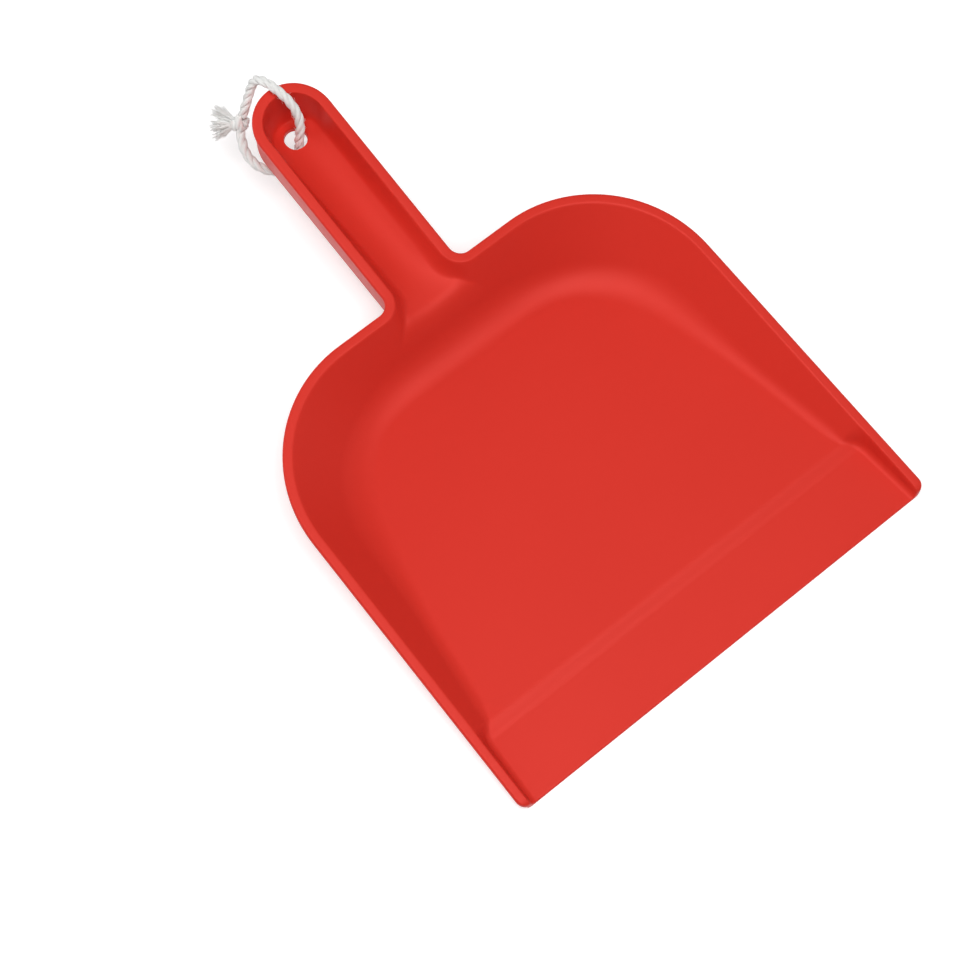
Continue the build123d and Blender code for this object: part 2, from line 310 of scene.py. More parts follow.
# --------------------------------------------------------------------------------------- twine
def smooth_line(name, points):
    """Points along the NURBS line whose control points are the route's."""
    curve = bpy.data.curves.new(name, "CURVE")
    curve.dimensions = "3D"
    curve.resolution_u = 24
    spline = curve.splines.new("NURBS")
    spline.points.add(len(points) - 1)
    for point, place in zip(spline.points, points):
        point.co = (*place, 1.0)
    spline.order_u = 3
    spline.use_endpoint_u = True
    holder = bpy.data.objects.new(name, curve)
    mesh = bpy.data.meshes.new_from_object(holder)
    line = [v.co.copy() for v in mesh.vertices]
    bpy.data.meshes.remove(mesh)
    bpy.data.objects.remove(holder)
    bpy.data.curves.remove(curve)
    return line


def even_steps(line, step):
    """The line's points at even steps, each with the length up to it."""
    lengths = [0.0]
    for a, b in zip(line, line[1:]):
        lengths.append(lengths[-1] + (b - a).length)
    count = max(2, round(lengths[-1] / step))
    spaced, k = [], 0
    for i in range(count + 1):
        want = lengths[-1] * i / count
        while k < len(line) - 2 and lengths[k + 1] < want:
            k += 1
        span = lengths[k + 1] - lengths[k] or 1.0
        spaced.append((line[k].lerp(line[k + 1], (want - lengths[k]) / span), want))
    return spaced


def frames_along(spaced):
    """Each point with two directions across the line that don't spin about it."""
    points = [p for p, _ in spaced]
    tangents = []
    for i, point in enumerate(points):
        ahead = points[min(i + 1, len(points) - 1)]
        behind = points[max(i - 1, 0)]
        tangents.append((ahead - behind).normalized())
    side = tangents[0].orthogonal().normalized()
    frames = []
    for (point, length), tangent in zip(spaced, tangents):
        side = (side - tangent * side.dot(tangent)).normalized()
        frames.append((point, length, side, tangent.cross(side)))
    return frames


class TubeMesh:
    """Tubes gathered into one mesh, with their length and turn as its UV map."""

    def __init__(self):
        self.vertices = []
        self.faces = []
        self.uvs = []

    def add(self, line, radii, sides=10):
        """A closed tube along a line of (point, length) with a radius at each point."""
        base = len(self.vertices)
        for (point, _, side, up), radius in zip(frames_along(line), radii):
            for k in range(sides):
                turn = 2 * pi * k / sides
                self.vertices.append(point + radius * (cos(turn) * side + sin(turn) * up))
        rings = len(line)
        for i in range(rings - 1):
            for k in range(sides):
                after = (k + 1) % sides
                low, high = base + i * sides, base + (i + 1) * sides
                self.faces.append((low + k, low + after, high + after, high + k))
                near, far = line[i][1] / UV_LENGTH, line[i + 1][1] / UV_LENGTH
                v, w = k / sides, (k + 1) / sides
                self.uvs.append(((near, v), (near, w), (far, w), (far, v)))
        for first, ring in ((True, base), (False, base + (rings - 1) * sides)):
            cap = [ring + k for k in range(sides)]
            self.faces.append(tuple(reversed(cap)) if first else tuple(cap))
            self.uvs.append(tuple((0.0, k / sides) for k in range(sides)))

    def piece(self, name):
        """The mesh object of all the tubes."""
        made = mesh_object(name, self.vertices, self.faces)
        layer = made.data.uv_layers.new(name="UVMap")
        for polygon, corners in zip(made.data.polygons, self.uvs):
            for loop, uv in zip(polygon.loop_indices, corners):
                layer.data[loop].uv = uv
        return made


def laid_strands(tubes, line, diameter, pitch, step):
    """Three strands twisted along a line, as in a laid twine."""
    frames = frames_along(even_steps(line, step))
    strand_radius = diameter * STRAND_SHARE
    offset = diameter / 2 - strand_radius
    for strand in range(3):
        way = []
        for point, length, side, up in frames:
            turn = 2 * pi * (length / pitch + strand / 3)
            way.append((point + offset * (cos(turn) * side + sin(turn) * up), length))
        tubes.add(way, [strand_radius] * len(way), sides=12)


def wisp(start, direction, length, curl, random, steps=6):
    """A short fibre that starts somewhere and wanders off in a direction."""
    way, point, heading, done = [], start.copy(), direction.normalized(), 0.0
    for _ in range(steps + 1):
        way.append((point.copy(), done))
        point = point + heading * (length / steps)
        done += length / steps
        swerve = Vector([random.uniform(-1, 1) for _ in range(3)])
        heading = (heading + curl * swerve).normalized()
    return way


class DUSTPAN_OT_twine_loop(bpy.types.Operator):
    """Lay the three-strand twine through the hole and over the rim"""

    bl_idname = "dustpan.twine_loop"
    bl_label = "Twine loop"

    def execute(self, context):
        settings = context.scene.dustpan_twine
        line = smooth_line("twine_way", TWINE_ROUTE)
        spaced = even_steps(line, STRAND_STEP)
        tubes = TubeMesh()
        laid_strands(tubes, line, settings.diameter, settings.pitch, STRAND_STEP)
        random = Random(5)
        frames = frames_along(spaced)
        for _ in range(settings.fibres):
            point, _, side, up = random.choice(frames[3:-3])
            turn = random.uniform(0, 2 * pi)
            out = cos(turn) * side + sin(turn) * up
            onwards = side.cross(up) * random.choice((-1, 1))
            way = wisp(
                point + out * settings.diameter * 0.44,
                out * random.uniform(0.15, 0.6) + onwards,
                random.uniform(0.0006, 0.0017),
                0.35,
                random,
            )
            tubes.add(way, [STRAY_RADIUS] * len(way), sides=3)
        piece = tubes.piece("twine_loop_laid")
        finish_piece(piece, bpy.data.materials["twine_fibre"])
        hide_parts("twine_loop")
        return {"FINISHED"}


class DUSTPAN_OT_twine_knot(bpy.types.Operator):
    """Tie the overhand knot that joins the ends of the twine"""

    bl_idname = "dustpan.twine_knot"
    bl_label = "Twine knot"

    def execute(self, context):
        axis = ((UPPER_TAIL_END + LOWER_TAIL_END) / 2 - KNOT_CENTRE).normalized()
        side = axis.orthogonal().normalized()
        up = axis.cross(side)
        turns, radius, rise, steps = 1.85, 0.00155, 0.0036, 12
        way = []
        for i in range(steps + 1):
            share = i / steps
            turn = 2 * pi * turns * share
            swell = radius * (0.75 + 0.5 * sin(pi * share))
            place = KNOT_CENTRE + axis * rise * (share - 0.5)
            way.append(tuple(place + swell * (cos(turn) * side + sin(turn) * up)))
        tubes = TubeMesh()
        wound = smooth_line("knot_way", way)
        laid_strands(tubes, wound, diameter=0.0025, pitch=0.007, step=KNOT_STEP)
        core = [tuple(KNOT_CENTRE + axis * place) for place in (-0.0026, -0.0004, 0.0022)]
        held = smooth_line("core_way", core)
        laid_strands(tubes, held, diameter=0.0026, pitch=0.008, step=KNOT_STEP)
        piece = tubes.piece("twine_knot_tied")
        finish_piece(piece, bpy.data.materials["twine_fibre"])
        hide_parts("twine_knot")
        return {"FINISHED"}


class DUSTPAN_OT_twine_tails(bpy.types.Operator):
    """Fray the two ends of the twine behind the knot"""

    bl_idname = "dustpan.twine_tails"
    bl_label = "Twine tails"

    def execute(self, context):
        random = Random(11)
        tubes = TubeMesh()
        for end, flare, count in ((UPPER_TAIL_END, 0.0022, 64), (LOWER_TAIL_END, 0.0031, 104)):
            reach = end - KNOT_CENTRE
            side = reach.orthogonal().normalized()
            up = reach.normalized().cross(side)
            for _ in range(count):
                turn, wide = random.uniform(0, 2 * pi), sqrt(random.random())
                out = cos(turn) * side + sin(turn) * up
                start = KNOT_CENTRE + reach * 0.18 + out * wide * 0.0007
                stop = end + out * wide * flare - reach * random.uniform(-0.05, 0.3)
                way = wisp(start, stop - start, (stop - start).length, 0.10, random, steps=9)
                radius = random.uniform(0.00014, 0.00027)
                radii = [radius * (1 - 0.6 * (i / (len(way) - 1)) ** 2) for i in range(len(way))]
                tubes.add(way, radii, sides=5)
        piece = tubes.piece("twine_tails_frayed")
        finish_piece(piece, bpy.data.materials["twine_fibre"])
        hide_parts("twine_tail_upper", "twine_tail_lower")
        return {"FINISHED"}


# -------------------------------------------------------------------------- the moulding's sizes
# in millimetres and degrees. The main sizes are those of the solid that the moulding stands
# for; its edges, blends, dish and the rounded front ends of its rim are softer than the solid's
FRONT_Y, BACK_Y, END_Y = -105.0, 32.1, 105.0
HALF_WIDTH, GRIP_HALF = 76.1, 12.8
TAPER = radians(1.0)
SHOULDER_RADIUS, NOTCH_RADIUS, CORNER_RADIUS = 42.5, 4.0, 2.8
RIM_WIDTH, GRIP_RIM, RIM_THICKNESS = 3.0, 3.3, 1.6
RIM_TOP_RADIUS, RIM_UNDER_RADIUS, RIM_EDGE = 0.75, 0.35, 0.4
RIM_FRONT_HEIGHT, RIM_BACK_HEIGHT, OVERALL_HEIGHT = 4.2, 20.7, 35.2
FLOOR, SKIN, GRIP_FLOOR, FLOOR_CORNER = 2.2, 1.6, 1.8, 40.0
LIP_EDGE, LIP_FOOT, LIP_LENGTH, STEP_LENGTH = 0.9, 1.25, 20.5, 6.2
SKIRT_AT, SKIRT_MOUTH, SKIRT_END = 0.5, 10.2, 11.4
MOUTH_LEAN, END_LEAN, BACK_LEAN, SIDE_LEAN = 22.0, 8.0, 32.5, 47.0
MOUTH_DEPTH, END_DEPTH = 5.2, 12.0
HOLE_Y, HOLE_RADIUS, HOLE_EDGE = END_Y - 11.6, 3.5, 0.3
DISH_RADIUS, DISH_HALF, DISH_DROP = 13.0, 9.0, 0.4
BACK_FOOT, SHOULDER_FOOT = 13.0, 18.0  # roundings between the pan's walls and its floor
MOUTH_BLEND, WALL_BLEND, END_BLEND, BEND_BLEND = 4.5, 4.6, 6.8, 0.27
UNDER_BLEND, BASE_BLEND, UNDER_FOOT = 3.0, 1.5, 2.5
NOSE_LENGTH, NOSE_DROP, LIP_ROUND = 2.8, 1.25, 0.35
# the side wall's foot: how far in it lies beside the lip, and its rounding, by the distance
# from the front edge
STEEP_FOOT, STEP_END = ((0.0, 3.75), (19.6, 4.55), (21.5, 4.9), (23.4, 5.7)), 26.5
SIDE_FOOT = ((0, 2.1), (19, 2.4), (24, 2.3), (27, 3.5), (31, 6), (60, 6.5), (75, 10), (92, 16))
DEEP = 29.0  # how far in from the rim's outline the rows of the pan reach
FAN = 26  # columns round the notch between the pan and the handle
SHOULDER_TURNS = 40  # steps round the shoulder
SHARP_ANGLE = radians(38)
MERGE = 2e-6  # metres

BEND_Y = BACK_Y + NOTCH_RADIUS
ARC_Y = END_Y - GRIP_HALF
NOTCH_X = GRIP_HALF + NOTCH_RADIUS
INNER_BACK = BACK_Y - RIM_WIDTH
STEP_Y = FRONT_Y + LIP_LENGTH
SIDE_RUN = tan(radians(SIDE_LEAN))
BACK_RUN = tan(radians(BACK_LEAN))
BACK_SKIN = SKIN / sin(radians(BACK_LEAN))
PAN_RISE = (RIM_BACK_HEIGHT - RIM_FRONT_HEIGHT) / (BACK_Y - FRONT_Y)
BEND_HEIGHT = RIM_FRONT_HEIGHT + PAN_RISE * (BEND_Y - FRONT_Y)
GRIP_RISE = (OVERALL_HEIGHT - BEND_HEIGHT) / (END_Y - BEND_Y)


def spread(a, b, count):
    """Evenly spaced values from just after a up to b."""
    return [a + (b - a) * (i + 1) / count for i in range(count)]


# distances in from the outline at which the pan goes on past half the handle's width
DEEP_ROWS = [12.85, 12.95, 13.1, 13.3, 13.6, 14.0] + spread(14.0, DEEP, 30)


def along(table, place):
    """Value from a table of (place, value) with straight lines between."""
    for (a, low), (b, high) in zip(table, table[1:]):
        if place <= b:
            return low + (high - low) * max(0.0, (place - a) / (b - a))
    return table[-1][1]


def ramp(place, a, b):
    """Smooth rise from 0 at a to 1 at b."""
    share = min(1.0, max(0.0, (place - a) / (b - a)))
    return share * share * (3 - 2 * share)


def soft_min(a, b, width):
    """Lesser of two heights, rounded off where they are within a width of each other."""
    near = max(width - abs(a - b), 0.0)
    return min(a, b) - (near * near / width / 4 if width > 0 else 0.0)


def soft_max(a, b, width):
    """Greater of two heights, rounded off in the same way."""
    return -soft_min(-a, -b, width)


def rim_height(y):
    """Top of the rim at a place along the length."""
    pan = RIM_FRONT_HEIGHT + PAN_RISE * (y - FRONT_Y)
    return soft_max(pan, BEND_HEIGHT + GRIP_RISE * (y - BEND_Y), BEND_BLEND)


def nose_drop(y):
    """How far the rim's front end has come down towards the lip, in a quarter of an ellipse."""
    share = min(1.0, max(0.0, 1 - (y - FRONT_Y) / NOSE_LENGTH))
    return NOSE_DROP * (1 - sqrt(1 - share * share))


def floor_height(y):
    """Top of the floor: the thin lip, one soft step, and the flat of the pan."""
    share = min(1.0, max(0.0, (y - STEP_Y) / STEP_LENGTH))
    rise = share**3 * (10 - 15 * share + 6 * share**2)
    lip = LIP_EDGE + (LIP_FOOT - LIP_EDGE) * min(1.0, (y - FRONT_Y) / LIP_LENGTH)
    return lip + (FLOOR - lip) * rise


def corner(t, foot, run, low, radius):
    """Height of a floor at t past a corner, rounded into a wall that leans out before it."""
    lean = atan2(1.0, run)
    reach = radius * tan(lean / 2)
    if t >= foot + reach:
        return low
    if t <= foot - reach * cos(lean):
        return low + (foot - t) / run
    return low + radius - sqrt(max(0.0, radius**2 - (t - foot - reach) ** 2))


def trough_level(y):
    """Height of the handle's floor, before it is dished."""
    mouth = rim_height(BACK_Y) - MOUTH_DEPTH
    end = OVERALL_HEIGHT - END_DEPTH
    return mouth + (end - mouth) * (y - BACK_Y) / (END_Y - BACK_Y)


def trough_height(x, y):
    """Top of the handle's dished floor, the ridge at its mouth and the back wall under it."""
    dish = DISH_RADIUS - sqrt(DISH_RADIUS**2 - min(abs(x), DISH_HALF) ** 2)
    dish *= 0.15 + 0.85 * ramp(y, BACK_Y - 6, BACK_Y + 14)
    foot = (rim_height(INNER_BACK) - FLOOR) * BACK_RUN
    back = corner(INNER_BACK - y, foot, BACK_RUN, FLOOR, BACK_FOOT)
    return soft_min(back, trough_level(y) - DISH_DROP + dish, MOUTH_BLEND)


def under_back(y):
    """Underside of the back wall."""
    return rim_height(INNER_BACK) - (INNER_BACK - y) / BACK_RUN - BACK_SKIN


def under_trough(y):
    """Underside of the handle's floor and of the back wall."""
    level = trough_level(y) - GRIP_FLOOR
    return soft_max(0.0, soft_min(under_back(y), level - DISH_DROP, UNDER_BLEND), BASE_BLEND)


class Column:
    """A line across the moulding, inwards from a place on the rim's outline."""

    def __init__(
        self, kind, start, inwards, width=RIM_WIDTH, run=None, progress=0.0, fan=0, radius=0.0
    ):
        self.kind = kind
        self.start = start
        self.inwards = inwards
        self.width = width
        self.run = run
        self.progress = progress
        self.fan = fan
        self.radius = radius
        self.low = FLOOR  # height of the floor at the wall's foot
        self.squeeze = 1.0  # round the front corner the rim's points draw together
        self.shift = 0.0  # and start further in
        if kind == "side" and start[1] - FRONT_Y < CORNER_RADIUS:
            gone = CORNER_RADIUS - (start[1] - FRONT_Y)
            self.shift = CORNER_RADIUS - sqrt(CORNER_RADIUS**2 - gone**2)
            self.squeeze = (RIM_WIDTH - self.shift) / RIM_WIDTH
        self.rim = rim_height(self.place(width)[1])
        if kind == "side":
            self.set_side()
        if kind == "bend":
            self.run = (floor_reach(start, inwards) - width) / (self.rim - FLOOR)

    def set_side(self):
        """The side wall's run, steep beside the lip and leaning behind it, and its foot."""
        far = self.start[1] - FRONT_Y
        self.low = floor_height(self.start[1])
        leaning = floor_reach(self.start, self.inwards)
        foot = along((*STEEP_FOOT, (STEP_END, leaning)), far) if far < STEP_END else leaning
        self.run = (foot - RIM_WIDTH) / (self.rim - self.low)
        self.radius = along(SIDE_FOOT, far)

    def place(self, t):
        """Place in plan at a distance in from the outline."""
        if self.kind == "fan":
            cut = acos(NOTCH_X / (NOTCH_RADIUS + t)) if t > GRIP_HALF else 0.0
            turn = pi / 2 + (cut - pi / 2) * self.fan / FAN
            out = NOTCH_RADIUS + t
            return NOTCH_X - out * cos(turn), BEND_Y - out * sin(turn)
        return self.start[0] + self.inwards[0] * t, self.start[1] + self.inwards[1] * t

    def wall(self, t):
        """Height of the inner wall, as if it went on for ever."""
        return self.rim - (t - self.width) / self.run

    def inner(self, t):
        """Height of the wall and the floor inside the rim."""
        x, y = self.place(t)
        if self.kind in ("side", "bend"):
            low = floor_height(y) if self.kind == "side" else FLOOR
            foot = self.width + (self.rim - self.low) * self.run
            return corner(t, foot, self.run, low, self.radius)
        width = WALL_BLEND * ramp(self.progress, 0.2, 1.0)
        width += (END_BLEND - WALL_BLEND) * ramp(y, HOLE_Y - 16, HOLE_Y + 2)
        return soft_max(self.wall(t), trough_height(x, y), width)

    def top(self, t):
        """Height of the upper side."""
        y = self.place(t)[1]
        edge = RIM_EDGE / max(0.25, self.run)
        height = soft_min(rim_height(y) - nose_drop(y), self.inner(t), edge)
        radius = RIM_TOP_RADIUS * self.squeeze
        into = t - self.shift
        if into < radius:
            height -= RIM_TOP_RADIUS - RIM_TOP_RADIUS / radius * sqrt(
                max(0.0, radius**2 - (radius - into) ** 2)
            )
        reach = y - FRONT_Y
        if reach < LIP_ROUND:
            height -= LIP_ROUND - sqrt(LIP_ROUND**2 - (LIP_ROUND - reach) ** 2)
        return height

    def under(self, t):
        """Height of the underside."""
        x, y = self.place(t)
        plate = rim_height(y) - RIM_THICKNESS - nose_drop(y)
        into = t - self.shift
        if into < RIM_UNDER_RADIUS:
            left = RIM_UNDER_RADIUS - into
            plate += RIM_UNDER_RADIUS - sqrt(RIM_UNDER_RADIUS**2 - left**2)
        if self.kind in ("side", "bend"):
            lean = atan2(1.0, self.run)
            skin = SKIN / cos(lean)
            foot = self.width + (self.rim - skin) * self.run
            return min(plate, corner(t, foot, self.run, 0.0, min(UNDER_FOOT, self.radius)))
        if self.kind == "fan":
            plate = min(plate, max(0.0, under_back(y)))
        inside = GRIP_HALF - abs(x) if self.kind == "fan" else t
        if inside < SKIRT_AT:
            return plate
        if inside < SKIRT_AT + SKIN:
            share = (y - BACK_Y) / (END_Y - BACK_Y)
            drop = SKIRT_MOUTH + (SKIRT_END - SKIRT_MOUTH) * share
            return max(0.0, min(plate, rim_height(y) - drop))
        return min(plate, under_trough(y))


def side_x(y):
    """Half the width over the pan's rim."""
    return HALF_WIDTH - (y - FRONT_Y) * tan(TAPER)


def floor_reach(start, inwards):
    """Distance from a place on the outline to the rounded line where wall and floor would meet."""
    x, y = start
    dx, dy = inwards
    tip = INNER_BACK - (rim_height(INNER_BACK) - FLOOR) * BACK_RUN
    slope = tan(TAPER) + PAN_RISE * SIDE_RUN
    corner_x = side_x(tip) - RIM_WIDTH - (rim_height(tip) - FLOOR) * SIDE_RUN
    turn = (pi / 2 - atan2(slope, 1.0)) / 2
    centre_x, centre_y = corner_x - FLOOR_CORNER * tan(turn), tip - FLOOR_CORNER
    beside = (corner_x + slope * (tip - y) - x) / (dx + slope * dy)
    if y + dy * beside < centre_y + FLOOR_CORNER * sin(atan2(slope, 1.0)):
        return beside
    ahead = (x - centre_x) * dx + (y - centre_y) * dy
    beyond = (x - centre_x) ** 2 + (y - centre_y) ** 2 - FLOOR_CORNER**2
    round_corner = -ahead - sqrt(max(0.0, ahead**2 - beyond))
    if x + dx * round_corner > centre_x:
        return round_corner
    return (tip - y) / dy


def outline_columns():
    """The right half's columns, from the lip round the shoulder and the notch to the handle's end."""
    centre_y = BACK_Y - SHOULDER_RADIUS
    centre_x = side_x(centre_y) - SHOULDER_RADIUS / cos(TAPER)
    straight = centre_y + SHOULDER_RADIUS * sin(TAPER) - FRONT_Y
    places = [0.0, 0.06, 0.2, 0.4, 0.7, 1.1, 1.6, 2.2, 2.8]
    places += spread(2.8, 18.0, 8) + spread(18.0, 28.0, 24) + spread(28.0, 36.0, 6)
    places += spread(36.0, straight, 26)[:-1]
    columns = []
    for far in places:
        y, turn = FRONT_Y + far, TAPER * far / straight
        columns.append(Column("side", (side_x(y), y), (-cos(turn), -sin(turn))))
    for i in range(SHOULDER_TURNS + 1):
        turn = TAPER + (pi / 2 - TAPER) * i / SHOULDER_TURNS
        out = (cos(turn), sin(turn))
        start = (centre_x + SHOULDER_RADIUS * out[0], centre_y + SHOULDER_RADIUS * out[1])
        radius = SHOULDER_FOOT + (BACK_FOOT - SHOULDER_FOOT) * ramp(i, 0, SHOULDER_TURNS)
        columns.append(Column("bend", start, (-out[0], -out[1]), radius=radius))
    for x in spread(centre_x, NOTCH_X, 9):
        columns.append(Column("bend", (x, BACK_Y), (0.0, -1.0), radius=BACK_FOOT))
    for i in range(1, FAN + 1):
        share = i / FAN
        width = RIM_WIDTH + (GRIP_RIM - RIM_WIDTH) * share
        run = tan(radians(BACK_LEAN + (MOUTH_LEAN - BACK_LEAN) * ramp(share, 0, 1)))
        columns.append(Column("fan", None, None, width, run, share, i))
    front = HOLE_Y - HOLE_RADIUS
    places = spread(BEND_Y, front, 30) + spread(front, ARC_Y, 8)
    for y in places:
        lean = MOUTH_LEAN + (END_LEAN - MOUTH_LEAN) * (y - BEND_Y) / (ARC_Y - BEND_Y)
        columns.append(Column("grip", (GRIP_HALF, y), (-1.0, 0.0), GRIP_RIM, tan(radians(lean)), 1.0))
    for turn in spread(0.0, pi / 2, 24):
        out = (cos(turn), sin(turn))
        start = (GRIP_HALF * out[0], ARC_Y + GRIP_HALF * out[1])
        run = tan(radians(END_LEAN))
        columns.append(Column("end", start, (-out[0], -out[1]), GRIP_RIM, run, 1.0))
    return columns


def hole_reach(column):
    """How far in a column of the handle goes: to the centre line, or to the hole's edge."""
    if column.kind == "end":
        rise = -column.inwards[1]
        beside = (HOLE_Y - ARC_Y) * column.inwards[0]
        return GRIP_HALF - (HOLE_Y - ARC_Y) * rise - sqrt(HOLE_RADIUS**2 - beside**2)
    if column.kind == "grip" and abs(column.start[1] - HOLE_Y) < HOLE_RADIUS:
        return GRIP_HALF - sqrt(HOLE_RADIUS**2 - (column.start[1] - HOLE_Y) ** 2)
    return GRIP_HALF


def top_rows(column):
    """Distances and heights of the upper side's points on a column, outside in."""
    width = column.width
    rows = [RIM_TOP_RADIUS * (1 - cos(pi / 2 * i / 8)) for i in range(9)]
    rows += spread(RIM_TOP_RADIUS, width - 0.6, 2)
    rows += [width + off for off in (-0.42, -0.27, -0.14, -0.05)]
    rows = [column.shift + column.squeeze * t for t in rows]
    fine = min(1.0, column.run * 1.2)
    rows += [width + fine * off for off in (0.0, 0.08, 0.17, 0.28, 0.42, 0.6, 0.85)]
    start, last = rows[-1], hole_reach(column)
    even = start + (GRIP_HALF - start) * 15 / 23
    foot = width
    for _ in range(6):
        x, y = column.place(foot)
        low = column.low if column.kind in ("side", "bend") else trough_height(x, y)
        foot = width + (column.rim - low) * column.run
    share = 1.0 if column.kind != "fan" else column.progress
    part = even + (min(even, foot + 2.2) - even) * share
    rows += spread(start, part, 15) + spread(part, last - HOLE_EDGE, 7) + [last]
    heights = [column.top(t) for t in rows]
    if last < GRIP_HALF - 0.001:
        heights[-1] -= HOLE_EDGE
    if column.kind in ("side", "bend", "fan"):
        rows += DEEP_ROWS
        heights += [column.top(t) for t in DEEP_ROWS]
    return rows, heights


def under_rows(column):
    """Distances and heights of the underside's points on a column, outside in."""
    rows = [RIM_UNDER_RADIUS * (1 - cos(pi / 2 * i / 3)) for i in range(4)]
    rows = [column.shift + t for t in rows]
    last = hole_reach(column)
    if column.kind in ("side", "bend"):
        skin = SKIN * sqrt(1 + column.run**2) / column.run
        foot = max(rows[-1] + 0.1, column.width + column.run * (RIM_THICKNESS - skin))
        rows += [foot - 0.02, foot + 0.02] + spread(foot + 0.02, last, 18)
        heights = [column.under(t) for t in rows]
    else:
        level = 1.0
        if column.kind == "fan":
            level = max(0.05, cos(pi / 2 * (1 - column.fan / FAN)))
        near = min(8.6, (NOTCH_X - GRIP_HALF + SKIRT_AT) / level - NOTCH_RADIUS)
        if column.kind != "fan":
            near = SKIRT_AT
        wide = min(SKIN / level, 11.5 - near)
        heights = [column.under(t) for t in rows]
        outer, low = column.under(near - 0.01), column.under(near + wide / 2)
        lifted = min(1.0, max(0.0, outer - low))
        skirt = ((0.012, 0.5), (0.09, 0.12), (0.28, 0.0), (0.78, 0.0), (0.95, 0.15))
        rows.append(near - 0.01)
        heights.append(outer)
        for share, lift in skirt:
            rows.append(near + share * wide)
            heights.append(low + lift * lifted)
        inner = spread(near + wide, last, 14)
        rows += inner
        heights += [column.under(t) for t in inner]
    if column.kind in ("side", "bend", "fan"):
        rows += DEEP_ROWS
        heights += [column.under(t) for t in DEEP_ROWS]
    return rows, heights


def half_sheet(builder, columns, make_rows, mirrored):
    """One side's skin of one half, as a table of vertices by column and row."""
    sign = -1.0 if mirrored else 1.0
    table = []
    for column in columns:
        rows, heights = make_rows(column)
        line = []
        for t, z in zip(rows, heights):
            x, y = column.place(t)
            line.append(builder.vertex(sign * x, y, z))
        table.append(line)
    for a, b in zip(table, table[1:]):
        for k in range(min(len(a), len(b)) - 1):
            builder.face(a[k], b[k], b[k + 1], a[k + 1])
    return table


class SkinBuilder:
    """Vertices and faces of the moulding's skin."""

    def __init__(self):
        self.mesh = bmesh.new()

    def vertex(self, x, y, z):
        return self.mesh.verts.new((x * MM, y * MM, z * MM))

    def face(self, *corners):
        self.mesh.faces.new(corners)

    def finish(self, name):
        """The closed mesh as an object, sharp only at real edges."""
        bmesh.ops.remove_doubles(self.mesh, verts=self.mesh.verts, dist=MERGE)
        bmesh.ops.recalc_face_normals(self.mesh, faces=self.mesh.faces)
        data = bpy.data.meshes.new(name)
        self.mesh.to_mesh(data)
        self.mesh.free()
        data.shade_smooth()
        data.set_sharp_from_angle(angle=SHARP_ANGLE)
        piece = bpy.data.objects.new(name, data)
        bpy.context.scene.collection.objects.link(piece)
        return piece


def close_floor(builder, columns, right, left, height):
    """The flat of the pan between the deepest rows of the two halves."""
    deep = [k for k, column in enumerate(columns) if column.kind in ("side", "bend", "fan")]
    sides = [k for k in deep if columns[k].kind == "side"]
    for a, b in zip(sides, sides[1:]):
        builder.face(right[a][-1], right[b][-1], left[b][-1], left[a][-1])
    rest = [k for k in deep if k >= sides[-1]]
    centre = builder.vertex(0.0, columns[sides[-1]].start[1] + 4.0, height)
    for half in (right, left):
        for a, b in zip(rest, rest[1:]):
            builder.face(half[a][-1], half[b][-1], centre)
    builder.face(left[sides[-1]][-1], right[sides[-1]][-1], centre)


def moulding_mesh(name):
    """The whole moulding: upper side, underside, the rim's edge, the lip's edge and the hole."""
    builder, columns = SkinBuilder(), outline_columns()
    halves = []
    for mirrored in (False, True):
        top = half_sheet(builder, columns, top_rows, mirrored)
        under = half_sheet(builder, columns, under_rows, mirrored)
        halves.append((top, under))
        for k in range(len(columns) - 1):
            builder.face(top[k][0], under[k][0], under[k + 1][0], top[k + 1][0])
            if columns[k].kind in ("grip", "end") and hole_reach(columns[k + 1]) < GRIP_HALF - 0.001:
                builder.face(top[k][-1], top[k + 1][-1], under[k + 1][-1], under[k][-1])
    (top_right, under_right), (top_left, under_left) = halves
    close_floor(builder, columns, top_right, top_left, FLOOR)
    close_floor(builder, columns, under_right, under_left, 0.0)
    edge = top_right[0] + top_left[0][::-1] + under_left[0] + under_right[0][::-1]
    builder.face(*edge)
    return builder.finish(name)


# ------------------------------------------------------------------------------------- dustpan
class DUSTPAN_OT_moulding(bpy.types.Operator):
    """Build the one-piece moulding with its roundings, and give it its plastic"""

    bl_idname = "dustpan.moulding"
    bl_label = "Moulding"

    def execute(self, context):
        piece = moulding_mesh("dustpan_moulding")
        finish_piece(piece, bpy.data.materials["moulded_plastic"])
        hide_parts("dustpan")
        return {"FINISHED"}


class DUSTPAN_OT_materials(bpy.types.Operator):
    """Mix the plastic and the twine's fibre"""

    bl_idname = "dustpan.materials"
    bl_label = "Materials"

    def execute(self, context):
        moulded_plastic(context.scene.dustpan_plastic)
        twine_fibre(context.scene.dustpan_twine)
        return {"FINISHED"}


# --------------------------------------------------------------------------------------- stage
# where the photograph was taken from, in the row frame: metres and degrees
CAMERA_PLACE = Vector((-0.19976, -0.24531, 0.71543))
CAMERA_AZIMUTH = radians(38.602)
CAMERA_ELEVATION = radians(68.254)
CAMERA_ROLL = radians(-0.8105)
PHOTO_WIDTH = 970
FOCAL_PIXELS = 2634.95
SENSOR_WIDTH = 36.0

SOFTBOX_DISTANCE = 1.1
FLOOR_HALF, FLOOR_LIFT = 3.0, 0.45


